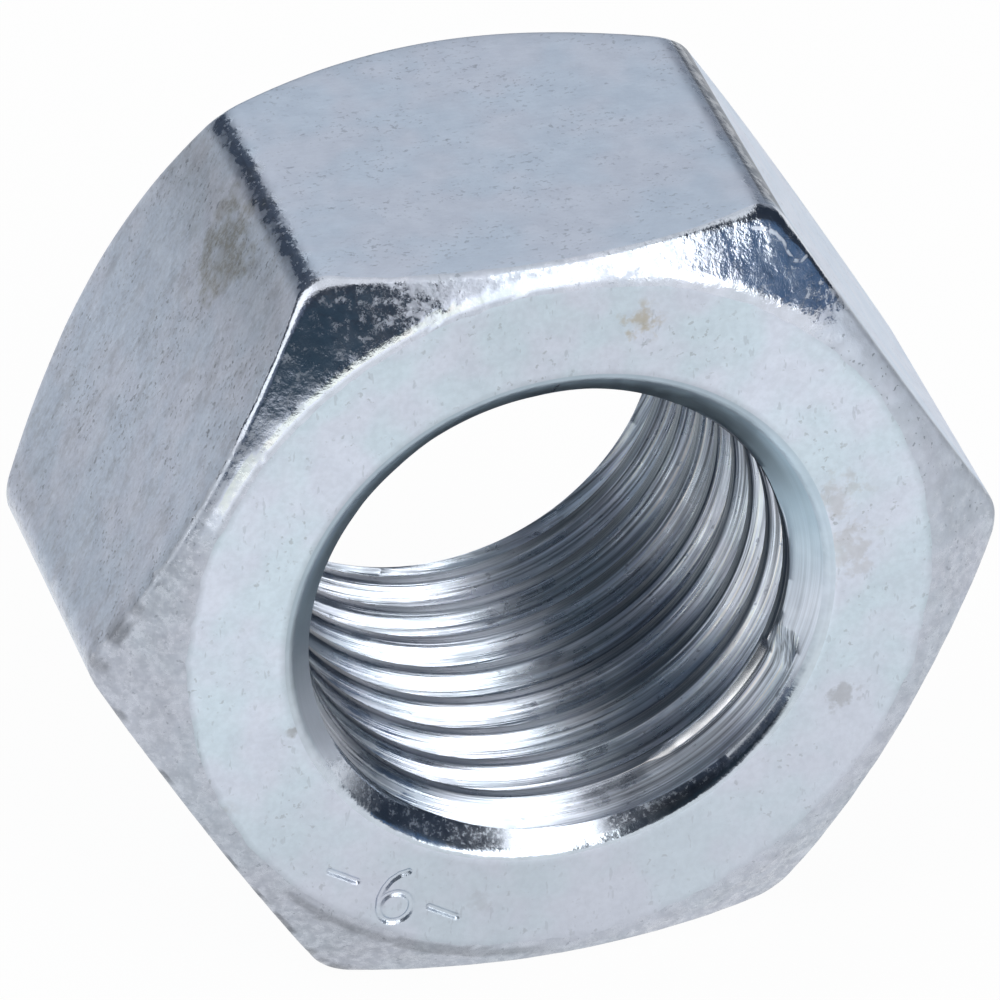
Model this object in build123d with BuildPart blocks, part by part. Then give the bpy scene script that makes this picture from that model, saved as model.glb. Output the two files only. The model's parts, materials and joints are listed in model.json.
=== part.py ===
"""Hexagon nut with a fine right-hand metric thread, standing on one of its six flats.

The thread's axis is level and runs along Y. The marked face looks toward -Y, +Z is up,
and the origin is in the middle of the footprint, on the surface that the nut stands on.
"""

import os
from math import radians, sin, tan

from build123d import *

# Hexagon
across_flats = 17.8
thickness = 10.8
corner_round = 0.9

# Thread: the bore is finished to the minor diameter of the basic 60 degree profile
thread_diameter = 12.0
thread_pitch = 1.25
minor_ratio = 1.0825

# Chamfer round the marked face: how far in from the flats it starts, and its rise from the face
near_inset = 0.36
near_angle = 32.0
near_edge_round = 0.3

# Steeper chamfer round the face on the other side
far_inset = 1.1
far_angle = 47.0
far_edge_round = 0.25

# Countersinks: how much wider than the bore they are at the face, each side, and their full angle
near_sink_widening = 0.8
far_sink_widening = 0.2
sink_angle = 90.0
mouth_round = 0.15

# Sizes that follow from those above
axis_height = across_flats / 2
flat_distance = across_flats / 2
bore_radius = (thread_diameter - minor_ratio * thread_pitch) / 2
near_face_radius = flat_distance - near_inset
far_face_radius = flat_distance - far_inset
clear_radius = flat_distance / sin(radians(60)) + corner_round
near_y = -thickness / 2
far_y = thickness / 2

# Half sections are drawn in this plane: first distance along the axis, second distance from it
half_section = Plane((0, 0, axis_height), x_dir=(0, 1, 0), z_dir=(1, 0, 0))
thread_axis = Axis((0, 0, axis_height), (0, 1, 0))


def cone_run(radial, angle):
    """Length along the axis that a chamfer needs to gain this much radius."""
    return radial * tan(radians(angle))


near_cone_end = near_y + cone_run(clear_radius - near_face_radius, near_angle)
far_cone_end = far_y - cone_run(clear_radius - far_face_radius, far_angle)
near_sink_end = near_y + cone_run(near_sink_widening, 90 - sink_angle / 2)
far_sink_end = far_y - cone_run(far_sink_widening, 90 - sink_angle / 2)

with BuildPart() as hex_nut:
    # Hexagonal bar with softened corners, a flat at the bottom and one at the top
    with BuildSketch(Plane.XZ.offset(near_y)) as hexagon:
        with Locations((0, axis_height)):
            RegularPolygon(radius=flat_distance, side_count=6, major_radius=False)
        fillet(hexagon.vertices(), radius=corner_round)
    extrude(amount=thickness)

    # Both chamfers turn the bar's corners down to a cone, which leaves an arc across each flat
    with BuildSketch(half_section):
        with BuildLine():
            Polyline(
                (near_y, 0),
                (near_y, near_face_radius),
                (near_cone_end, clear_radius),
                (far_cone_end, clear_radius),
                (far_y, far_face_radius),
                (far_y, 0),
                close=True,
            )
        make_face()
    revolve(axis=thread_axis, mode=Mode.INTERSECT)

    # Bore with a countersink at each end
    with BuildSketch(half_section):
        with BuildLine():
            Polyline(
                (near_y, 0),
                (near_y, bore_radius + near_sink_widening),
                (near_sink_end, bore_radius),
                (far_sink_end, bore_radius),
                (far_y, bore_radius + far_sink_widening),
                (far_y, 0),
                close=True,
            )
        make_face()
    revolve(axis=thread_axis, mode=Mode.SUBTRACT)

    # The turned edges are not sharp: round the rim of each face and the mouth on the marked side
    faces_along = hex_nut.faces().filter_by(GeomType.PLANE).sort_by(Axis.Y)
    near_face, far_face = faces_along[0], faces_along[-1]
    near_rim = near_face.outer_wire().edges()
    near_mouth = near_face.inner_wires()[0].edges()
    far_rim = far_face.outer_wire().edges()
    fillet(near_rim, radius=near_edge_round)
    fillet(near_mouth, radius=mouth_round)
    fillet(far_rim, radius=far_edge_round)

hex_nut.part.label = "hex_nut"

os.makedirs("parts", exist_ok=True)
export_step(hex_nut.part, "parts/hex_nut.step")
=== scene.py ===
"""Look of the hexagon nut: threaded bore, worn corners and zinc plating, on a pale floor."""
import json
import math

import bmesh
import bpy
import numpy as np
from mathutils import Matrix, Vector

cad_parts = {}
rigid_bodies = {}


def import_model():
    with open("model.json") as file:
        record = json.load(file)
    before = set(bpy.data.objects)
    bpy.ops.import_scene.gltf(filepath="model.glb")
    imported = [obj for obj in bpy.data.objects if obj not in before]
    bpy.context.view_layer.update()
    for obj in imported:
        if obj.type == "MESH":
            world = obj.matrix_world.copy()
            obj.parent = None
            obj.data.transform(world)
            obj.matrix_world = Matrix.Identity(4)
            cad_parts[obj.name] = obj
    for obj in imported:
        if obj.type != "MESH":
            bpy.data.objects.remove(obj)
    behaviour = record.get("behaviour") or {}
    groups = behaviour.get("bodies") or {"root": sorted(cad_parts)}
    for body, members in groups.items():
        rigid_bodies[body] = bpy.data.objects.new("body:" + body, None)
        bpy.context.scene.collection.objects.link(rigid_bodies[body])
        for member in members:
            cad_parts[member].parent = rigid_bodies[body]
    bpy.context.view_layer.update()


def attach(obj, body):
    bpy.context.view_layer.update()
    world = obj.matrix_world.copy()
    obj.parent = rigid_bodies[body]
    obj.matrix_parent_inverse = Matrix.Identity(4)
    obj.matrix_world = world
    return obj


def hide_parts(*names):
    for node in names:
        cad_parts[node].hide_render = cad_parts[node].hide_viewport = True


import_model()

MM = 0.001

# Sizes in millimetres, the same values as the solid's
ACROSS_FLATS = 17.8
THICKNESS = 10.8
CORNER_ROUND = 0.9
NEAR_INSET, NEAR_CHAMFER = 0.36, math.radians(32)
FAR_INSET, FAR_CHAMFER = 1.1, math.radians(47)
PITCH = 1.25
MAJOR_RADIUS = 6.0
MINOR_RATIO = 1.0825

# Sizes that follow from them
FLAT_DISTANCE = ACROSS_FLATS / 2
AXIS_HEIGHT = ACROSS_FLATS / 2
NEAR_FACE_RADIUS = FLAT_DISTANCE - NEAR_INSET
FAR_FACE_RADIUS = FLAT_DISTANCE - FAR_INSET
NEAR_SLOPE = math.tan(NEAR_CHAMFER)
FAR_SLOPE = math.tan(FAR_CHAMFER)
MINOR_RADIUS = (2 * MAJOR_RADIUS - MINOR_RATIO * PITCH) / 2

# Countersink on the marked side, at 45 degrees and a little smaller than the solid's
SINK_DEPTH = 0.72
SINK_RADIUS = MINOR_RADIUS + SINK_DEPTH

# Worn bevel on the front edge of the first crest, over the lower right
BEVEL_DROP = 0.155
BEVEL_SLOPE = math.tan(math.radians(32))

# Depth below the marked face at which a crest's front edge crosses the bottom of the bore
CREST_AT_BOTTOM = 1.20

# The mesh is a ring of rows round the section. Its columns start and end at the top, where angles
# round the axis are 90 degrees: 0 is toward +X, and they run up to 450.
SEAM_ANGLE = 90.0
COLUMNS = 440


def noise(points, size, seed):
    """Smooth value noise between -1 and 1, with features about `size` across."""
    q = np.asarray(points, float) / size
    cell = np.floor(q).astype(np.int64)
    f = q - cell
    f = f * f * (3 - 2 * f)
    total = np.zeros(len(q))
    for dx in (0, 1):
        for dy in (0, 1):
            for dz in (0, 1):
                h = ((cell[:, 0] + dx) * 73856093) ^ ((cell[:, 1] + dy) * 19349663)
                h = (h ^ ((cell[:, 2] + dz) * 83492791) ^ (seed * 2654435761)) & 0xFFFFFFFF
                h = ((h ^ (h >> 13)) * 1274126177) & 0xFFFFFFFF
                h = (h ^ (h >> 16)) & 0xFFFF
                w = np.where(dx, f[:, 0], 1 - f[:, 0])
                w = w * np.where(dy, f[:, 1], 1 - f[:, 1])
                w = w * np.where(dz, f[:, 2], 1 - f[:, 2])
                total += w * (h / 32767.5 - 1)
    return total


def smooth_step(low, high, x):
    """Nought below the first value, one above the second, and smooth between them."""
    t = np.clip((x - low) / (high - low), 0, 1)
    return t * t * (3 - 2 * t)


def between(angle, start, end, soft):
    """One for angles from start to end, fading to nought over `soft` degrees on either side."""
    off = np.abs((angle - (start + end) / 2 + 180) % 360 - 180)
    return 1 - smooth_step((end - start) / 2, (end - start) / 2 + soft, off)


def column_angles():
    """Angles of the columns, from the seam round to it again, closer together at the corners."""
    fine = np.linspace(SEAM_ANGLE, SEAM_ANGLE + 360, 20001)
    off_corner = (fine + 30) % 60 - 30
    density = 1 + 2.4 * np.exp(-((off_corner / 3.2) ** 2))
    reach = np.concatenate([[0], np.cumsum((density[1:] + density[:-1]) / 2)])
    return np.interp(np.linspace(0, reach[-1], COLUMNS + 1)[:-1], reach, fine)


def hexagon_radius(angle):
    """Distance from the axis to the hexagon's side, with its rounded corners."""
    off_corner = np.radians((angle + 30) % 60 - 30)
    off_flat = np.radians((angle + 60) % 60 - 30)
    centre = (FLAT_DISTANCE - CORNER_ROUND) / math.cos(math.radians(30))
    under = CORNER_ROUND**2 - (centre * np.sin(off_corner)) ** 2
    arc = centre * np.cos(off_corner) + np.sqrt(np.clip(under, 0, None))
    flat = FLAT_DISTANCE / np.cos(off_flat)
    tangent_at = math.atan((FLAT_DISTANCE - CORNER_ROUND) * math.tan(math.radians(30)) / FLAT_DISTANCE)
    return np.where(np.abs(off_flat) > tangent_at, arc, flat)


# One turn of the thread as shares of the pitch, with the radius at each
FLANK = 0.3125
THREAD_FORM = [
    (0.0, MINOR_RADIUS + 0.02),
    (0.03, MINOR_RADIUS),
    (0.125, MINOR_RADIUS),
    (0.225, MINOR_RADIUS),
    (0.25, MINOR_RADIUS + 0.02),
    (0.25 + FLANK * 0.33, MINOR_RADIUS + 0.223),
    (0.25 + FLANK * 0.67, MINOR_RADIUS + 0.453),
    (0.25 + FLANK, MAJOR_RADIUS - 0.02),
    (0.625, MAJOR_RADIUS),
    (0.6875, MAJOR_RADIUS - 0.02),
    (0.6875 + FLANK * 0.25, MAJOR_RADIUS - 0.169),
    (0.6875 + FLANK * 0.5, MAJOR_RADIUS - 0.338),
    (0.6875 + FLANK * 0.75, MAJOR_RADIUS - 0.507),
]
ROWS_PER_TURN = len(THREAD_FORM)
THREAD_ARC = math.pi * (MINOR_RADIUS + MAJOR_RADIUS)

# Depths where the bore's rows begin and end, and where the groove runs out toward the far rim
THREAD_START = 0.13
THREAD_END = THICKNESS - 0.07
FAR_RUNOUT_START = THICKNESS - 0.40
FAR_RUNOUT = 0.30
FAR_RIM_RADIUS = MINOR_RADIUS + 0.04

theta = column_angles()
turn_share = (theta - SEAM_ANGLE) / 360
hex_r = hexagon_radius(theta)

# The first groove opens at the lower right, and the countersink beyond it is whole
before_first = smooth_step(331, 344, theta)
before_second = 1 - smooth_step(146, 158, theta)
bevel = BEVEL_DROP * smooth_step(290, 304, theta) * (1 - smooth_step(334, 337, theta))

rows_depth, rows_radius, rows_zone = [], [], []


def add_row(zone, depth, radius):
    """One row of points, given by depth behind the marked face and distance from the axis."""
    rows_depth.append(np.broadcast_to(depth, theta.shape).astype(float))
    rows_radius.append(np.broadcast_to(radius, theta.shape).astype(float))
    rows_zone.append(zone)


def add_rows(zone, start, end, shares):
    """Rows at shares of the straight way from one place to another."""
    for s in shares:
        add_row(zone, start[0] + (end[0] - start[0]) * s, start[1] + (end[1] - start[1]) * s)


def add_round(zone, before, corner, after, steps):
    """Rows along a soft corner, as a curve from one point to another with the corner as its pull."""
    for k in range(steps + 1):
        t = k / steps
        a, b, c = (1 - t) ** 2, 2 * t * (1 - t), t * t
        add_row(zone, a * before[0] + b * corner[0] + c * after[0],
                a * before[1] + b * corner[1] + c * after[1])


# Bore: rows follow the helix, and those beyond either end of the thread gather there
first_turn = -2
turns = int(math.ceil(THREAD_END / PITCH)) + 4
at_seam = CREST_AT_BOTTOM - PITCH * (SEAM_ANGLE + 90) / 360
for turn in range(first_turn, first_turn + turns):
    for share, radius in THREAD_FORM:
        depth = at_seam + PITCH * (turn + share - turn_share)
        inside = np.clip(depth, THREAD_START, THREAD_END)
        sink = SINK_RADIUS - inside
        runout = np.clip((inside - FAR_RUNOUT_START) / FAR_RUNOUT, 0, 1)
        lip = MAJOR_RADIUS - (MAJOR_RADIUS - FAR_RIM_RADIUS) * runout
        if turn == 1 and share < 0.25:
            radius = np.maximum(radius, MINOR_RADIUS + bevel - share * PITCH * BEVEL_SLOPE)
        wall = np.minimum(np.maximum(radius, sink), lip)
        filled = before_second if turn < 0 else before_first if turn == 0 else 0.0
        wall = wall + (np.maximum(sink, MINOR_RADIUS) - wall) * filled
        wall = np.where(depth <= THREAD_START, SINK_RADIUS - THREAD_START, wall)
        wall = np.where(depth >= THREAD_END, FAR_RIM_RADIUS, wall)
        add_row("thread", inside, wall)
thread_rows = len(rows_depth)

# Wear round the turned edges, worked out along the rim so that each edge wanders a little
RIM_CIRCLE = 8.5
round_axis = np.radians(theta)
rim_place = RIM_CIRCLE * np.stack([np.cos(round_axis), np.sin(round_axis), np.zeros(COLUMNS)], axis=1)
near_wear = 0.035 * (1 + noise(rim_place, 0.9, 3)) + 0.040 * (1 + noise(rim_place, 0.30, 4))
edge_wear = 0.020 * (1 + noise(rim_place, 0.8, 5)) + 0.022 * (1 + noise(rim_place, 0.28, 6))
nicked = between(theta, 496, 536, 4) + 0.5 * between(theta, 385, 415, 6)
edge_wear += 0.11 * nicked * np.clip(noise(rim_place, 0.24, 8) - 0.05, 0, None)
edge_wear += 0.20 * between(theta, 524, 541, 2) * np.clip(noise(rim_place, 0.17, 9) - 0.05, 0, None)
edge_chips = between(theta, 524, 600, 4) * smooth_step(0.0, 0.45, noise(rim_place, 0.20, 12))
far_wear = 0.02 * (1 + noise(rim_place, 0.8, 7))
corner_rub = np.exp(-(((theta + 30) % 60 - 30) / 5.0) ** 2)

near_edge = (hex_r - NEAR_FACE_RADIUS) * NEAR_SLOPE
far_edge = THICKNESS - (hex_r - FAR_FACE_RADIUS) * FAR_SLOPE
NEAR_COS, NEAR_SIN = math.cos(NEAR_CHAMFER), math.sin(NEAR_CHAMFER)
FAR_COS, FAR_SIN = math.cos(FAR_CHAMFER), math.sin(FAR_CHAMFER)
soft = 0.07 + edge_wear + 0.16 * corner_rub
far_soft = 0.06 + far_wear
near_in = (near_edge - soft * NEAR_SIN, hex_r - soft * NEAR_COS)
far_in = (far_edge + far_soft * FAR_SIN, hex_r - far_soft * FAR_COS)

# Far face, rim, chamfer
far_mouth, far_face_end = MINOR_RADIUS + 0.18, FAR_FACE_RADIUS - 0.12
add_rows("far_face", (THICKNESS, far_mouth), (THICKNESS, far_face_end), np.linspace(0, 1, 7))
far_rim_out = (THICKNESS - 0.1 * FAR_SLOPE, FAR_FACE_RADIUS + 0.1)
add_round("far_cone", (THICKNESS, FAR_FACE_RADIUS - 0.1), (THICKNESS, FAR_FACE_RADIUS), far_rim_out, 3)
add_rows("far_cone", far_rim_out, far_in, [0.17, 0.33, 0.5, 0.67, 0.83])
add_round("side", far_in, (far_edge, hex_r), (far_edge - far_soft, hex_r), 2)

# Sides
add_rows("side", (far_edge - far_soft, hex_r), (near_edge + soft, hex_r), np.linspace(0, 1, 20)[1:-1])
add_round("near_cone", (near_edge + soft, hex_r), (near_edge, hex_r), near_in, 4)

# Near chamfer, rim, face, mouth
rim_out = np.minimum(0.16 + 1.5 * near_wear, 0.8 * (near_in[1] - NEAR_FACE_RADIUS))
rim_in = NEAR_FACE_RADIUS - 0.14 - near_wear
near_rim_out = (rim_out * NEAR_SLOPE, NEAR_FACE_RADIUS + rim_out)
add_rows("near_cone", near_in, near_rim_out, np.linspace(0, 1, 9)[1:-1])
add_round("near_cone", near_rim_out, (0, NEAR_FACE_RADIUS), (0, rim_in), 5)
mouth_start, mouth_end = (0, SINK_RADIUS + 0.11), (0.09, SINK_RADIUS - 0.09)
add_rows("near_face", (0, rim_in), mouth_start, np.linspace(0, 1, 16)[1:-1])
add_round("mouth", mouth_start, (0, SINK_RADIUS), mouth_end, 5)

depth = np.array(rows_depth)
radius = np.array(rows_radius)
row_count = len(rows_depth)

# Points, row by row
angle = np.radians(theta)[None, :]
flat_points = np.stack([
    radius * np.cos(angle),
    depth - THICKNESS / 2,
    AXIS_HEIGHT + radius * np.sin(angle),
], axis=-1).reshape(-1, 3)

# Coordinates for the materials, in millimetres: along the grain, across it, and then the radius
# in the bore, or elsewhere a step for each side of the hexagon, so that no two sides look alike
SIDE_STEP = 20.0
off_flat = np.radians(theta % 60 - 30)
along_flat = FLAT_DISTANCE * np.tan(off_flat)
side_number = np.floor(theta / 60) % 6
grain = np.zeros((row_count, COLUMNS, 3))
helix_depth = depth + PITCH * turn_share[None, :]
for j, zone in enumerate(rows_zone):
    if zone == "thread":
        grain[j, :, 0] = turn_share * THREAD_ARC
        grain[j, :, 1] = helix_depth[j]
        grain[j, :, 2] = radius[j]
    else:
        grain[j, :, 0] = along_flat
        grain[j, :, 1] = depth[j]
        grain[j, :, 2] = side_number * SIDE_STEP
grain = grain.reshape(-1, 3)

# How light each place is: tones at bearings round the axis, with painted light and shade on the
# chamfers, the countersink, the bore, the right flat and one corner band
# On the faces the tones only vary round the axis, darker towards the bottom, and dark chips on the near
# chamfer's outer edge come from wear
FACE_TONE = ([0, 45, 76, 100, 135, 180, 225, 255, 290, 325, 360],
             [1.02, 1.08, 0.95, 0.95, 1.07, 1.10, 0.96, 0.86, 0.91, 0.96, 1.0])
# The chamfers carry painted shade everywhere but over the top, deepest at the lower left
CONE_PAINTED_SHADE = ([0, 30, 50, 135, 160, 200, 240, 275, 330, 360],
             [0.84, 0.90, 1.0, 1.0, 0.85, 0.84, 0.76, 0.84, 0.84, 0.84])
bearing = theta % 360
# Painted light and shade round the mouth: darker over the top and at the lower right edge, lighter at
# the right
mouth_painted_light_and_shade = 1 - 0.38 * between(bearing, 52, 172, 24) - 0.10 * between(bearing, 188, 198, 12)
mouth_painted_light_and_shade += 0.20 * between(bearing, 345, 372, 16)
mouth_edge_painted_shade = 1 - 0.55 * between(bearing, 294, 322, 10)
mouth_top = between(bearing, 38, 150, 22)
# Painted highlight on the chamfer's rim over the top left, painted shade at the lower left
rim_painted_highlight_and_shade = 0.5 * between(bearing, 88, 150, 8) - 0.22 * between(bearing, 226, 264, 6)
# Painted shade on the band beside the top right corner
corner_shade = 1 - 0.64 * between(bearing, 57.1, 60.2, 0.4)
# Painted shade over the bore's left and lower right, painted light at its right
thread_painted_light_and_shade = 1 - 0.50 * between(bearing, 186, 226, 14) - 0.16 * between(bearing, 288, 312, 12)
thread_painted_light_and_shade += 0.20 * between(bearing, 324, 380, 12)

# The left flat's tones go by place along it, in millimetres, and the right one is lighter all over by
# painted light
LEFT_FLAT, RIGHT_FLAT = 2, 0
LEFT_FLAT_TONE = ([-5.1, -3.9, -2.4, 0.5, 5.1], [0.93, 0.75, 0.94, 1.06, 0.92])
RIGHT_FLAT_PAINTED_LIGHT = 1.26


def row_tone(zone, depth, radius):
    """Tones of one row of points: painted light and shade on the chamfers, the mouth, the bore, the
    right flat and a corner band, and plain tones on the faces and the left flat.
    """
    if zone in ("near_face", "far_face"):
        return np.interp(bearing, *FACE_TONE)
    if zone == "far_cone":
        return np.interp(bearing, *CONE_PAINTED_SHADE)
    if zone == "near_cone":
        # the rim beside the face has a painted highlight over the top left and painted shade at the
        # lower left, and dark chips lie along the outer edge
        on_rim = (radius > NEAR_FACE_RADIUS - 0.12) & (radius < NEAR_FACE_RADIUS + 0.16)
        by_edge = depth > near_edge - soft * NEAR_SIN - 0.001
        return (np.interp(bearing, *CONE_PAINTED_SHADE) + on_rim * rim_painted_highlight_and_shade) * (1 - 0.42 * by_edge * edge_chips)
    if zone == "side":
        left = np.where(side_number == LEFT_FLAT, np.interp(along_flat, *LEFT_FLAT_TONE), 1.0)
        return np.where(side_number == RIGHT_FLAT, RIGHT_FLAT_PAINTED_LIGHT, left) * corner_shade
    # the mouth's painted light and shade, growing lighter inward over the top
    if zone == "mouth":
        level = 0.5 + 0.5 * mouth_painted_light_and_shade if depth[0] < 0.03 else mouth_painted_light_and_shade * mouth_edge_painted_shade
        return level * (1 + 0.5 * mouth_top * min(depth[0] / 0.06, 1))
    # the bore's rows, of which the first lie on the countersink, all with painted light and shade round
    # the axis
    on_sink = np.abs(radius + depth - SINK_RADIUS) < 0.004
    edge = np.where(radius > SINK_RADIUS - 0.26, mouth_edge_painted_shade, 1.0)
    inner = 1 + (0.5 - 0.9 * smooth_step(0.05, 0.48, depth)) * mouth_top
    return np.where(on_sink, mouth_painted_light_and_shade * edge * inner, thread_painted_light_and_shade)


tone_and_painted_light = np.array([row_tone(*row) for row in zip(rows_zone, depth, radius)]).reshape(-1)

# How scratched the chamfers are: high is dull and torn, low is glossy and dark
WEAR = ([0, 22, 34, 43, 49, 54, 64, 72, 84, 100, 108, 114, 125, 136, 146, 360],
        [1.1, 1.4, 1.7, 1.3, 0.45, 0.10, 0.12, 0.55, 0.9, 1.1, 1.0, 0.50, 0.22, 0.45, 0.9, 0.9])
wear = np.broadcast_to(np.interp(bearing, *WEAR), (row_count, COLUMNS)).reshape(-1)

# Distance from the nearest corner edge, measured round the axis
CORNER_RADIUS = 10.1
corner_distance = np.abs(np.radians((theta + 30) % 60 - 30)) * CORNER_RADIUS
corner_mm = np.broadcast_to(corner_distance[None, :], (row_count, COLUMNS)).reshape(-1)

mesh = bpy.data.meshes.new("nut_body")
nut = bpy.data.objects.new("nut_body", mesh)
bpy.context.scene.collection.objects.link(nut)

# A strip between two rows takes the second row's zone, or the first one's for the pairs below
ZONES = ["side", "near_cone", "near_face", "mouth", "thread", "far_face", "far_cone"]
KEEP_FIRST_ZONE = {("thread", "far_face"), ("far_face", "far_cone"), ("far_cone", "side"),
                   ("side", "near_cone"), ("near_face", "mouth"), ("mouth", "thread")}
quads, quad_zone, quad_grain = [], [], []
grain_start = grain.reshape(row_count, COLUMNS, 3)
grain_end = np.roll(grain_start, -1, axis=1)
in_thread = np.array(rows_zone) == "thread"
grain_end[in_thread, -1, 0] += THREAD_ARC
next_theta = np.append(theta[1:], theta[0] + 360)
next_along = FLAT_DISTANCE * np.tan(np.radians(next_theta - 60 * np.floor(theta / 60) - 30))
grain_end[~in_thread, :, 0] = next_along
grain_end[~in_thread, :, 2] = side_number * SIDE_STEP
columns = np.arange(COLUMNS)
for j in range(row_count):
    nxt = (j + 1) % row_count
    a = j * COLUMNS + columns
    d = nxt * COLUMNS + columns
    b, c = np.roll(a, -1), np.roll(d, -1)
    # at the seam each thread row meets the row one turn before it
    if j < thread_rows:
        b[-1] = max(j - ROWS_PER_TURN, 0) * COLUMNS
    if nxt < thread_rows:
        c[-1] = max(nxt - ROWS_PER_TURN, 0) * COLUMNS
    quads.append(np.stack([a, b, c, d], axis=1))
    grain_corners = [grain_start[j], grain_end[j], grain_end[nxt], grain_start[nxt]]
    quad_grain.append(np.stack(grain_corners, axis=1))
    zone = rows_zone[j] if (rows_zone[j], rows_zone[nxt]) in KEEP_FIRST_ZONE else rows_zone[nxt]
    quad_zone += [ZONES.index(zone)] * COLUMNS
quads = np.concatenate(quads)
quad_grain = np.concatenate(quad_grain)
quad_zone = np.array(quad_zone)

# Generic mark on the near face: a plain numeral between two short dashes, as places from the axis
MARK_STROKES = [
    [(-5.27, -5.47), (-4.66, -5.86)],
    [(-3.06, -6.86), (-2.45, -7.25)],
    [(-3.83 + 0.37 * math.cos(a), -6.71 + 0.37 * math.sin(a)) for a in np.linspace(0, 2 * math.pi, 25)],
    [(-4.20, -6.68), (-4.17, -6.42), (-4.06, -6.18), (-3.90, -5.99), (-3.70, -5.88), (-3.50, -5.84)],
]
MARK_HALF_WIDTH = 0.10
MARK_DEPTH = 0.055
MARK_REACH = 0.26


def mark_distance(x, z):
    """Distance of places on the near face from the nearest stroke of the mark."""
    nearest = np.full(len(x), 99.0)
    for stroke in MARK_STROKES:
        for (ax, az), (bx, bz) in zip(stroke[:-1], stroke[1:]):
            length = (bx - ax) ** 2 + (bz - az) ** 2
            share = np.clip(((x - ax) * (bx - ax) + (z - az) * (bz - az)) / length, 0, 1)
            away = np.hypot(x - ax - share * (bx - ax), z - az - share * (bz - az))
            nearest = np.minimum(nearest, away)
    return nearest


def engrave_mark(bm):
    """Refines the near face round the mark and sinks the strokes into it."""
    face_quads = [f for f in bm.faces if f.material_index == ZONES.index("near_face")]
    middles = np.array([f.calc_center_median() for f in face_quads]) / MM
    close = mark_distance(middles[:, 0], middles[:, 2] - AXIS_HEIGHT) < MARK_REACH
    edges = {e for f, wanted in zip(face_quads, close) if wanted for e in f.edges}
    edges = sorted(edges, key=lambda e: e.index)
    bmesh.ops.subdivide_edges(bm, edges=edges, cuts=4, use_grid_fill=True)
    bm.verts.ensure_lookup_table()
    places = np.array([v.co for v in bm.verts]) / MM
    away = mark_distance(places[:, 0], places[:, 2] - AXIS_HEIGHT)
    sunk = MARK_DEPTH * (1 - smooth_step(0.25 * MARK_HALF_WIDTH, MARK_HALF_WIDTH, away))
    sunk *= 1 + 0.25 * noise(places, 0.35, 11)
    for i in np.nonzero((sunk > 0.0005) & (places[:, 1] < 0.001 - THICKNESS / 2))[0]:
        bm.verts[i].co.y += sunk[i] * MM


mesh.from_pydata((flat_points * MM).tolist(), [], quads.tolist())
mesh.polygons.foreach_set("material_index", quad_zone.astype(np.int32))
mesh.attributes.new("grain", "FLOAT_VECTOR", "CORNER").data.foreach_set("vector", quad_grain.ravel())
mesh.attributes.new("corner_mm", "FLOAT", "POINT").data.foreach_set("value", corner_mm)
mesh.attributes.new("tone_and_painted_light", "FLOAT", "POINT").data.foreach_set("value", tone_and_painted_light)
mesh.attributes.new("wear", "FLOAT", "POINT").data.foreach_set("value", wear)

bm = bmesh.new()
bm.from_mesh(mesh)
bmesh.ops.remove_doubles(bm, verts=bm.verts, dist=0.0015 * MM)
bmesh.ops.dissolve_degenerate(bm, edges=bm.edges, dist=0.0005 * MM)
bm.edges.index_update()
engrave_mark(bm)
bmesh.ops.recalc_face_normals(bm, faces=bm.faces)
open_edges = sum(1 for e in bm.edges if not e.is_manifold)
print("nut_body:", len(bm.verts), "vertices,", len(bm.faces), "faces,", open_edges, "open edges,",
      round(bm.calc_volume(signed=True) / MM**3, 1), "mm3")
bm.to_mesh(mesh)
bm.free()
mesh.shade_smooth()
mesh.set_sharp_from_angle(angle=math.radians(38))


# Materials
class Tree:
    """Small helper that adds shader nodes and wires them."""

    def __init__(self, tree):
        self.tree = tree
        tree.nodes.clear()

    def node(self, kind, settings=None, **inputs):
        """Adds a node with its settings, and wires or sets its inputs by name."""
        n = self.tree.nodes.new(kind)
        for k, v in (settings or {}).items():
            setattr(n, k, v)
        for k, v in inputs.items():
            self.set(n, k.replace("_", " "), v)
        return n

    def set(self, n, name, value):
        """Wires a socket to an input, or sets its value. A number picks the input by its place."""
        socket = n.inputs[int(name)] if name.isdigit() else n.inputs[name]
        if isinstance(value, bpy.types.NodeSocket):
            self.tree.links.new(value, socket)
        else:
            socket.default_value = value

    def math(self, op, a, b=0.0, c=None, clamp=False):
        n = self.node("ShaderNodeMath", {"operation": op, "use_clamp": clamp})
        for i, v in enumerate((a, b, c)):
            if v is not None:
                self.set(n, str(i), v)
        return n.outputs[0]

    def vmath(self, op, a, b):
        n = self.node("ShaderNodeVectorMath", {"operation": op})
        self.set(n, "0", a)
        self.set(n, "1", b)
        return n.outputs[1] if op in ("DOT_PRODUCT", "DISTANCE") else n.outputs[0]

    def attribute(self, name):
        return self.node("ShaderNodeAttribute", {"attribute_name": name})

    def split(self, vector, axis):
        """One of a vector's three values."""
        return self.node("ShaderNodeSeparateXYZ", Vector=vector).outputs[axis]

    def times(self, *values):
        """Product of masks or numbers."""
        product = values[0]
        for value in values[1:]:
            product = self.math("MULTIPLY", product, value)
        return product

    def noise(self, vector, scale, detail=3.0, rough=0.55):
        return self.node("ShaderNodeTexNoise", Vector=vector, Scale=scale, Detail=detail,
                         Roughness=rough).outputs["Fac"]

    def ramp(self, value, low, high, to_low=0.0, to_high=1.0):
        """Smooth change from one value to another while the input goes from low to high."""
        return self.node("ShaderNodeMapRange", {"interpolation_type": "SMOOTHSTEP"}, Value=value,
                         From_Min=low, From_Max=high, To_Min=to_low, To_Max=to_high).outputs[0]

    def mix(self, factor, a, b, blend="MIX"):
        """Blend of two colours, each a socket or three numbers."""
        settings = {"data_type": "RGBA", "blend_type": blend, "clamp_result": False}
        n = self.node("ShaderNodeMix", settings)
        self.set(n, "0", factor)
        for i, v in ((6, a), (7, b)):
            self.set(n, str(i), v if isinstance(v, bpy.types.NodeSocket) else (*v, 1.0))
        return n.outputs[2]


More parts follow.
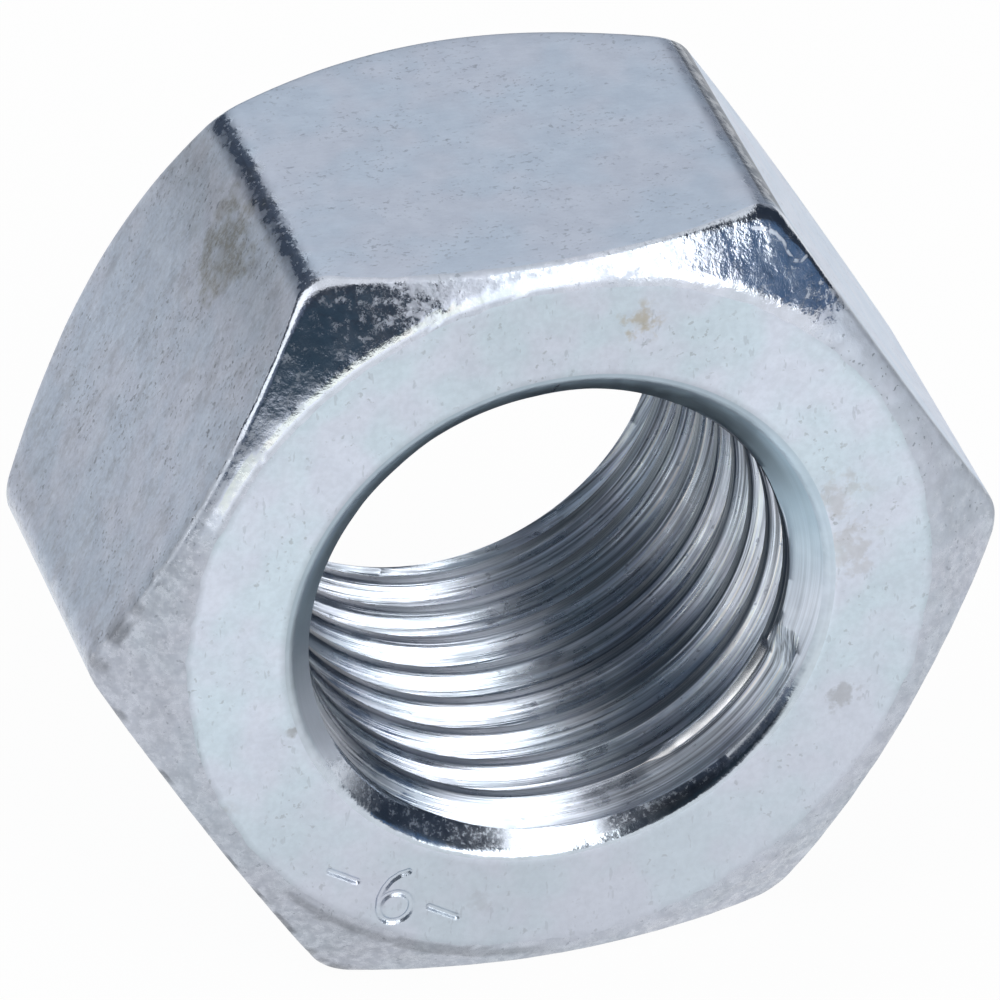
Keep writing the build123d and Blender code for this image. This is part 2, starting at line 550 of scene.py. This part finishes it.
class Zinc(Tree):
    """A bare zinc surface: tint, tone and height are built up step by step, then closed."""

    def __init__(self, name, colour_a, colour_b, rough):
        self.material = bpy.data.materials.new(name)
        self.material.use_nodes = True
        super().__init__(self.material.node_tree)
        spot = self.node("ShaderNodeTexCoord").outputs["Object"]
        self.place = self.stretch(spot, (1000, 1000, 1000))
        self.grain = self.attribute("grain").outputs["Vector"]
        tint = self.ramp(self.noise(self.place, 0.55, 2), 0.38, 0.62)
        self.colour = self.mix(tint, colour_a, colour_b)
        self.rough = rough
        self.height = 0.0

    def stretch(self, vector, factors):
        """Coordinates scaled along each axis: a larger factor packs a pattern closer there."""
        return self.vmath("MULTIPLY", vector, factors)

    def darken(self, factor):
        """Multiplies the colour by a grey factor."""
        grey = self.node("ShaderNodeCombineColor", Red=factor, Green=factor, Blue=factor).outputs[0]
        self.colour = self.mix(1.0, self.colour, grey, "MULTIPLY")

    def stain(self, amount, colour):
        """Lays another colour over the surface, by a mask or an amount."""
        self.colour = self.mix(amount, self.colour, colour)

    def mottle(self, vector, scale, low, high, detail=4.0):
        """Light and dark clouds between two factors."""
        self.darken(self.ramp(self.noise(vector, scale, detail), 0.32, 0.68, low, high))

    def specks(self, vector, scale, share, detail=2.0, patch=None):
        """A mask of small separate specks; a smaller share gives fewer of them."""
        edge = 0.5 + (1 - share) * 0.25
        mask = self.ramp(self.noise(vector, scale, detail), edge, edge + 0.05)
        if patch is not None:
            mask = self.times(mask, patch)
        return mask

    def rise(self, value, mm):
        """Adds to the height that the bump is worked out from."""
        self.height = self.math("MULTIPLY_ADD", value, mm, self.height)

    def roughen(self, vector, scale, mm, mask, detail=3.0):
        """Adds noise to the height where the mask is one, level on average, so that it has no step."""
        level = self.math("SUBTRACT", self.noise(vector, scale, detail), 0.5)
        self.rise(self.times(level, mask), mm)

    def polish(self, mask, rough):
        """Brings the roughness to another value where the mask is one."""
        change = self.math("SUBTRACT", rough, self.rough)
        self.rough = self.math("MULTIPLY_ADD", mask, change, self.rough)

    def dot(self, centre, radius, uneven):
        """A mask round one place, whose edge wanders by a value between -1 and 1."""
        far = self.vmath("DISTANCE", self.place, centre)
        far = self.math("MULTIPLY_ADD", uneven, radius * 0.5, far)
        return self.ramp(far, radius * 0.15, radius, 1.0, 0.0)

    def wander(self, scale):
        """Smooth unevenness between -1 and 1."""
        return self.ramp(self.noise(self.place, scale, 3), 0.3, 0.7, -1.0, 1.0)

    def trace(self, points, half_width):
        """A mask along a line through places seen face on, given in millimetres from the axis."""
        flat = self.stretch(self.place, (1, 0, 1))
        nearest = None
        for (ax, az), (bx, bz) in zip(points[:-1], points[1:]):
            along = Vector((bx - ax, 0, bz - az))
            start = (ax, 0, az + AXIS_HEIGHT)
            off = self.vmath("SUBTRACT", flat, start)
            reach = self.vmath("DOT_PRODUCT", off, tuple(along))
            share = self.math("DIVIDE", reach, along.length_squared, clamp=True)
            shares = self.node("ShaderNodeCombineXYZ", X=share, Y=share, Z=share).outputs[0]
            foot = self.vmath("MULTIPLY", tuple(along), shares)
            away = self.vmath("DISTANCE", off, foot)
            nearest = away if nearest is None else self.math("MINIMUM", nearest, away)
        return self.ramp(nearest, 0.0, half_width, 1.0, 0.0)

    def close(self, rough_swing=0.05):
        """Applies the mesh's tones with their painted light and shade, lets the roughness wander and
        wires the surface up.
        """
        self.darken(self.attribute("tone_and_painted_light").outputs["Fac"])
        out = self.node("ShaderNodeOutputMaterial")
        swing = self.ramp(self.noise(self.place, 1.9, 2), 0.3, 0.7, -rough_swing, rough_swing)
        rough = self.math("ADD", self.rough, swing)
        bump = self.node("ShaderNodeBump", Strength=1.0, Distance=MM, Height=self.height)
        bsdf = self.node("ShaderNodeBsdfPrincipled", Metallic=1.0, Base_Color=self.colour,
                         Roughness=rough, Normal=bump.outputs[0])
        self.tree.links.new(bsdf.outputs[0], out.inputs[0])
        return self.material


# Colours of the plating and of what lies on it, with two painted ones: a dark reflection for the bore's
# crests and a highlight for its bevel
CYAN_ZINC = (0.600, 0.700, 0.780)
LILAC_ZINC = (0.640, 0.690, 0.790)
DARK_SPECK = (0.20, 0.23, 0.27)
BROWN_FILM = (0.36, 0.33, 0.28)
CREST_PAINTED_REFLECTION = (0.07, 0.10, 0.125)
LIT_METAL = (0.93, 0.93, 0.95)

# Thin burr on the near chamfer by the upper right corner, as places from the axis
BURR_LINE = [(4.55, 8.60), (4.84, 8.51), (5.06, 8.36), (5.21, 8.15),
             (5.28, 7.93), (5.40, 7.74), (5.56, 7.68), (5.70, 7.72)]
BURR_HALF_WIDTH = 0.055


def above(t, low, high):
    """A mask that comes in with height over the nut's axis."""
    return t.ramp(t.split(t.place, 2), AXIS_HEIGHT + low, AXIS_HEIGHT + high)


def flat_zinc():
    """Sides of the hexagon: drawn bar with dark specks and smudges, and glossy corners darkened further
    by a painted reflection.
    """
    t = Zinc("zinc_side", (0.568, 0.655, 0.775), (0.604, 0.662, 0.772), 0.42)
    off_left = t.math("ABSOLUTE", t.math("SUBTRACT", t.split(t.grain, 2), LEFT_FLAT * SIDE_STEP))
    left = t.ramp(off_left, 0.25 * SIDE_STEP, 0.45 * SIDE_STEP, 1.0, 0.0)
    grit = t.noise(t.stretch(t.grain, (7, 9, 1)), 1.0, 4, 0.7)
    busy_grit = t.math("MULTIPLY_ADD", left, 0.50, 0.14)
    t.darken(t.math("MULTIPLY_ADD", t.math("SUBTRACT", grit, 0.5), busy_grit, 1.0))
    busy = t.ramp(t.noise(t.place, 0.8, 2), 0.42, 0.60, 0.10, 1.0)
    busy = t.times(busy, t.math("MULTIPLY_ADD", left, 0.5, 0.5))
    streaks = t.specks(t.stretch(t.grain, (4.2, 5.2, 1)), 1.0, 0.46, 3.0, busy)
    t.stain(t.times(streaks, 0.80), DARK_SPECK)
    fine = t.specks(t.stretch(t.grain, (7, 9.5, 1)), 1.0, 0.62, 2.0, busy)
    t.stain(t.times(fine, 0.60), DARK_SPECK)
    sparse = t.specks(t.stretch(t.grain, (2.0, 4.2, 1)), 1.0, 0.26, 3.0)
    t.stain(t.times(sparse, 0.50), (0.27, 0.30, 0.37))
    cloud = t.ramp(t.noise(t.stretch(t.grain, (1.1, 1.7, 1)), 1.0, 4, 0.78), 0.47, 0.66)
    t.stain(t.times(cloud, left, 0.36), (0.29, 0.31, 0.34))
    patchy = t.ramp(grit, 0.36, 0.60, 0.25, 0.75)
    olive = t.times(t.dot(OLIVE_STAIN, OLIVE_RADIUS, t.wander(2.1)), patchy)
    t.stain(olive, (0.22, 0.22, 0.17))
    t.stain(t.times(left, 0.12), (0.40, 0.37, 0.42))
    t.rise(t.noise(t.stretch(t.grain, (3.0, 7.0, 1)), 1.0, 3), 0.006)

    # corner bands: polished by handling, with an uneven border and a painted dark reflection where they
    # are glossy
    near = t.attribute("corner_mm").outputs["Fac"]
    uneven = t.ramp(t.noise(t.place, 2.1, 4, 0.62), 0.3, 0.7, -0.15, 0.15)
    band = t.ramp(t.math("ADD", near, uneven), 0.13, 0.27, 1.0, 0.0)
    t.polish(band, 0.20)
    flecks = t.ramp(t.noise(t.place, 8.0, 3), 0.58, 0.68)
    dull = t.times(band, flecks)
    t.polish(dull, 0.50)
    # painted dark navy reflection on the glossy part of the band
    t.stain(t.times(t.math("SUBTRACT", band, dull), 0.15), (0.24, 0.30, 0.36))
    t.roughen(t.place, 3.0, 0.022, band, 3.0)
    return t.close()


def cone_zinc(name, burr_line=None):
    """Turned chamfers: burnished and glossy, with small dents, dull scratches and torn flecks."""
    t = Zinc(name, (0.61, 0.665, 0.75), (0.635, 0.675, 0.765), 0.16)
    t.mottle(t.place, 2.4, 0.93, 1.05, 3.0)
    wear = t.attribute("wear").outputs["Fac"]
    t.rise(t.noise(t.place, 0.9, 1), 0.05)
    t.rise(t.noise(t.place, 3.2, 4, 0.62), 0.020)
    torn = t.math("MULTIPLY_ADD", wear, 0.26, t.noise(t.place, 4.2, 6, 0.80))
    t.polish(t.ramp(torn, 0.58, 0.84), 0.56)
    if burr_line:
        broken = t.ramp(t.noise(t.place, 4.5, 1), 0.34, 0.48)
        t.polish(t.times(t.trace(burr_line, BURR_HALF_WIDTH), broken), 0.50)
    flecks = t.specks(t.place, 7.5, 0.36, 2.0, wear)
    t.stain(t.times(flecks, 0.4), DARK_SPECK)
    return t.close(0.04)


def face_zinc(name):
    """Faces: satin plating with faint tints, pits, scratches and a few tan spots."""
    t = Zinc(name, CYAN_ZINC, LILAC_ZINC, 0.36)
    t.mottle(t.place, 1.4, 0.965, 1.02, 3.0)
    t.mottle(t.place, 7.0, 0.96, 1.03, 3.0)
    patch = t.ramp(t.noise(t.place, 0.75, 3), 0.44, 0.62)
    pits = t.specks(t.place, 5.0, 0.58, 3.0, patch)
    t.stain(t.times(pits, 0.50), (0.33, 0.36, 0.38))
    ticks = t.specks(t.stretch(t.place, (7.0, 1.0, 2.6)), 1.0, 0.36, 2.0)
    t.stain(t.times(ticks, 0.34), (0.36, 0.40, 0.44))
    uneven = t.wander(3.6)
    for centre, radius, amount, colour in FACE_SPOTS:
        t.stain(t.times(t.dot(centre, radius * 1.3, uneven), amount), colour)
    low = t.math("SUBTRACT", 1.0, above(t, -7.0, -1.0))
    t.stain(t.times(low, 0.30), (0.62, 0.645, 0.735))
    t.rise(t.noise(t.place, 2.5, 3), 0.010)
    t.rise(t.noise(t.place, 12.0, 2), 0.0035)
    return t.close()


def mouth_zinc():
    """Rim of the countersink, turned smooth, duller on its upper half."""
    t = Zinc("zinc_mouth", (0.56, 0.635, 0.70), (0.58, 0.64, 0.72), 0.19)
    t.mottle(t.place, 3.0, 0.94, 1.04, 2.0)
    t.stain(t.times(above(t, -1.5, 2.0), 0.6), (0.47, 0.60, 0.70))
    t.polish(above(t, -3.2, -1.8), 0.44)
    t.rise(t.noise(t.place, 1.4, 4, 0.6), 0.03)
    return t.close(0.04)


def thread_zinc():
    """Bore: tapped thread with fine lines along the cut, torn crests and the countersink."""
    t = Zinc("zinc_thread", (0.56, 0.625, 0.70), (0.59, 0.63, 0.71), 0.23)
    helical, radius = t.split(t.grain, 1), t.split(t.grain, 2)
    across = t.split(t.place, 0)
    depth = t.math("ADD", t.split(t.place, 1), THICKNESS / 2)
    right = t.ramp(across, -0.5, 3.0)

    # where the countersink is, and where the thread is cut
    off_sink = t.math("ABSOLUTE", t.math("SUBTRACT", t.math("ADD", radius, depth), SINK_RADIUS))
    in_sink = t.math("LESS_THAN", depth, SINK_DEPTH + 0.04)
    sink = t.times(t.ramp(off_sink, 0.006, 0.022, 1.0, 0.0), in_sink)
    cut = t.math("SUBTRACT", 1.0, sink)

    # first flank over the lower right, and the bevel between it and the first crest, with a painted
    # highlight
    first_crest = at_seam + PITCH
    first = t.times(t.ramp(helical, first_crest - 0.065, first_crest - 0.005, 1.0, 0.0),
                    t.ramp(across, 1.6, 3.0))
    facet = t.times(t.ramp(radius, MINOR_RADIUS + 0.012, MINOR_RADIUS + 0.030),
                    t.math("COMPARE", helical, first_crest + 0.095, 0.11),
                    t.ramp(across, 1.2, 2.2))

    # lines that the tap left along the helix, stronger on the right
    lines = t.math("SUBTRACT", t.noise(t.stretch(t.grain, (0.12, 21, 4)), 1.0, 3), 0.5)
    broad = t.math("SUBTRACT", t.noise(t.stretch(t.grain, (0.20, 6.5, 2)), 1.0, 1), 0.5)
    ragged = t.times(cut, t.math("SUBTRACT", 1.0, facet))
    t.rise(t.times(lines, ragged, t.math("MULTIPLY_ADD", right, 0.014, 0.016)), 1.0)
    t.rise(t.times(broad, ragged), 0.024)
    t.darken(t.math("MULTIPLY_ADD", lines, t.math("MULTIPLY_ADD", right, 2.6, 0.8), 1.0))

    # crests, with a painted dark reflection on their flats that is much darker on the right, and torn
    # places
    crest = t.ramp(radius, MINOR_RADIUS + 0.004, MINOR_RADIUS + 0.035, 1.0, 0.0)
    # painted dark reflection on the crest flats, near black on the right
    t.stain(t.times(crest, 0.30), (0.20, 0.20, 0.27))
    t.stain(t.times(crest, right, 0.80), CREST_PAINTED_REFLECTION)
    t.polish(crest, 0.30)
    torn = t.specks(t.stretch(t.grain, (2.4, 9, 3)), 1.0, 0.36, 3.0, cut)
    t.stain(t.times(torn, 0.5), (0.14, 0.16, 0.20))
    dull = t.ramp(t.noise(t.stretch(t.grain, (0.5, 14, 4)), 1.0, 3), 0.46, 0.66)
    t.polish(t.times(dull, cut), 0.38)
    t.polish(t.times(right, cut, 0.4), 0.38)
    t.polish(t.times(first, cut, 0.8), 0.50)
    t.polish(facet, 0.22)
    # painted highlight on the bevel
    t.stain(facet, LIT_METAL)

    # countersink: glossy and scratched below, dull and teal above
    t.stain(t.times(sink, 0.7), (0.575, 0.625, 0.70))
    t.stain(t.times(sink, above(t, -1.5, 2.0), 0.8), (0.46, 0.62, 0.72))
    worn = t.ramp(t.noise(t.place, 9.0, 4, 0.75), 0.46, 0.72)
    t.polish(sink, 0.17)
    t.polish(t.times(worn, sink), 0.40)
    t.polish(t.times(above(t, -3.2, -1.8), sink), 0.44)
    return t.close(0.05)


def on_face(x, z, depth=0.0):
    """A place on the marked face or behind it, in millimetres from the nut's axis."""
    return (x, depth - THICKNESS / 2, AXIS_HEIGHT + z)


# Stains that the photograph shows, as place, radius, strength and colour
TAN_SPOT = (0.47, 0.43, 0.34)
GREY_SPOT = (0.30, 0.30, 0.30)
FACE_SPOTS = [
    (on_face(1.80, 7.22), 0.36, 0.75, TAN_SPOT),
    (on_face(6.80, 5.68), 0.26, 0.55, TAN_SPOT),
    (on_face(6.13, 6.56), 0.20, 0.40, GREY_SPOT),
    (on_face(6.30, -3.29), 0.34, 0.50, GREY_SPOT),
    (on_face(6.20, 1.90), 0.55, 0.30, BROWN_FILM),
    (on_face(6.42, 0.55), 0.62, 0.30, BROWN_FILM),
    (on_face(-5.97, -1.64), 0.14, 0.6, GREY_SPOT),
    (on_face(-7.90, -3.58), 0.40, 0.30, BROWN_FILM),
    (on_face(-1.92, -6.93), 0.25, 0.25, GREY_SPOT),
]

# Olive smudge on the left flat: its place up the flat from the middle, and its depth
OLIVE_UP, OLIVE_DEPTH, OLIVE_RADIUS = 3.68, 4.92, 1.5
OLIVE_STAIN = on_face(-0.866 * FLAT_DISTANCE + 0.5 * OLIVE_UP,
                      0.5 * FLAT_DISTANCE + 0.866 * OLIVE_UP, OLIVE_DEPTH)

looks = {
    "side": flat_zinc(),
    "near_cone": cone_zinc("zinc_near_cone", BURR_LINE),
    "near_face": face_zinc("zinc_near_face"),
    "mouth": mouth_zinc(),
    "thread": thread_zinc(),
    "far_face": face_zinc("zinc_far_face"),
    "far_cone": cone_zinc("zinc_far_cone"),
}
for zone in ZONES:
    mesh.materials.append(looks[zone])

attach(nut, "root")
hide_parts("hex_nut")

# Floor: lit plainly, and white to the camera and in reflections
floor_mesh = bpy.data.meshes.new("floor")
FLOOR_REACH = 3.0
floor_corners = [(x * FLOOR_REACH, y * FLOOR_REACH, 0) for x, y in ((-1, -1), (1, -1), (1, 1), (-1, 1))]
floor_mesh.from_pydata(floor_corners, [], [(0, 1, 2, 3)])
floor = bpy.data.objects.new("floor", floor_mesh)
bpy.context.scene.collection.objects.link(floor)
floor_mat = bpy.data.materials.new("floor_white")
floor_mat.use_nodes = True
t = Tree(floor_mat.node_tree)
out = t.node("ShaderNodeOutputMaterial")
lit = t.node("ShaderNodeBsdfDiffuse", Color=(0.92, 0.92, 0.92, 1))
white = t.node("ShaderNodeEmission", Color=(1, 1, 1, 1), Strength=1.0)
path = t.node("ShaderNodeLightPath")
seen = t.math("ADD", path.outputs["Is Camera Ray"], path.outputs["Is Glossy Ray"])
seen = t.math("ADD", seen, path.outputs["Is Transmission Ray"], clamp=True)
WHITE_SHARE = 0.96
mixed = t.node("ShaderNodeMixShader", Fac=t.times(seen, WHITE_SHARE))
t.set(mixed, "1", lit.outputs[0])
t.set(mixed, "2", white.outputs[0])
t.tree.links.new(mixed.outputs[0], out.inputs[0])
floor_mesh.materials.append(floor_mat)

# World: a dim studio with soft boxes. Each has its azimuth from the marked side, its elevation,
# its half width and half height, all in degrees, and its colour. A later box covers an earlier one.
DARK_ROOM = (0.030, 0.040, 0.058)
SOFT_BOXES = [
    (24, 29, 14, 28, (3.5, 3.5, 3.5)),
    (50, 14, 11, 11, (0.085, 0.150, 0.260)),
    (-160, 22, 25, 22, (0.080, 0.098, 0.130)),
    (171, 40, 19, 25, (0.82, 0.83, 0.85)),
    (141, 14, 11, 14, (0.34, 0.36, 0.40)),
    (0, 90, 30, 30, (1.0, 1.0, 1.0)),
    (-95, 32, 22, 28, (1.5, 1.5, 1.5)),
    (-26, 17, 15, 12, (0.040, 0.068, 0.095)),
    (-28, 3, 10, 6, (0.55, 0.57, 0.62)),
    (-60, 15, 12, 22, (0.15, 0.18, 0.24)),
]
BOX_EDGE = 0.09      # half width of a box's soft border, as a share of its distance
world = bpy.data.worlds.new("studio")
bpy.context.scene.world = world
world.use_nodes = True
t = Tree(world.node_tree)
out = t.node("ShaderNodeOutputWorld")
ray = t.node("ShaderNodeTexCoord").outputs["Generated"]
light = DARK_ROOM
for azimuth, elevation, half_width, half_height, level in SOFT_BOXES:
    a, e = math.radians(azimuth), math.radians(elevation)
    towards = Vector((math.sin(a) * math.cos(e), -math.cos(a) * math.cos(e), math.sin(e)))
    side = Vector((math.cos(a), math.sin(a), 0))
    up = side.cross(-towards)
    ahead = t.vmath("DOT_PRODUCT", ray, tuple(towards))
    off = [t.math("ABSOLUTE", t.vmath("DOT_PRODUCT", ray, tuple(axis / math.tan(math.radians(half)))))
           for axis, half in ((side, half_width), (up, half_height))]
    # below nought inside the box, and always above it on the other side of the sky
    outside = t.math("SUBTRACT", t.math("MAXIMUM", *off), ahead)
    box = t.ramp(outside, -BOX_EDGE, BOX_EDGE, 1.0, 0.0)
    light = t.mix(box, light, level)
background = t.node("ShaderNodeBackground", Color=light, Strength=1.0)
t.tree.links.new(background.outputs[0], out.inputs[0])

# Camera, at the photograph's viewing angle
lens = bpy.data.cameras.new("camera")
lens.sensor_width = 36
lens.lens = 487.1
lens.clip_start, lens.clip_end = 0.01, 20
camera = bpy.data.objects.new("camera", lens)
camera.matrix_world = Matrix((
    (0.9593377, 0.1653390, -0.2287665, -0.06711226),
    (-0.2819767, 0.5250364, -0.8030105, -0.23629664),
    (-0.0126582, 0.8348651, 0.5503090, 0.17046975),
    (0, 0, 0, 1),
))
bpy.context.scene.collection.objects.link(camera)
bpy.context.scene.camera = camera
bpy.context.scene.view_settings.view_transform = "Standard"

bpy.context.view_layer.update()
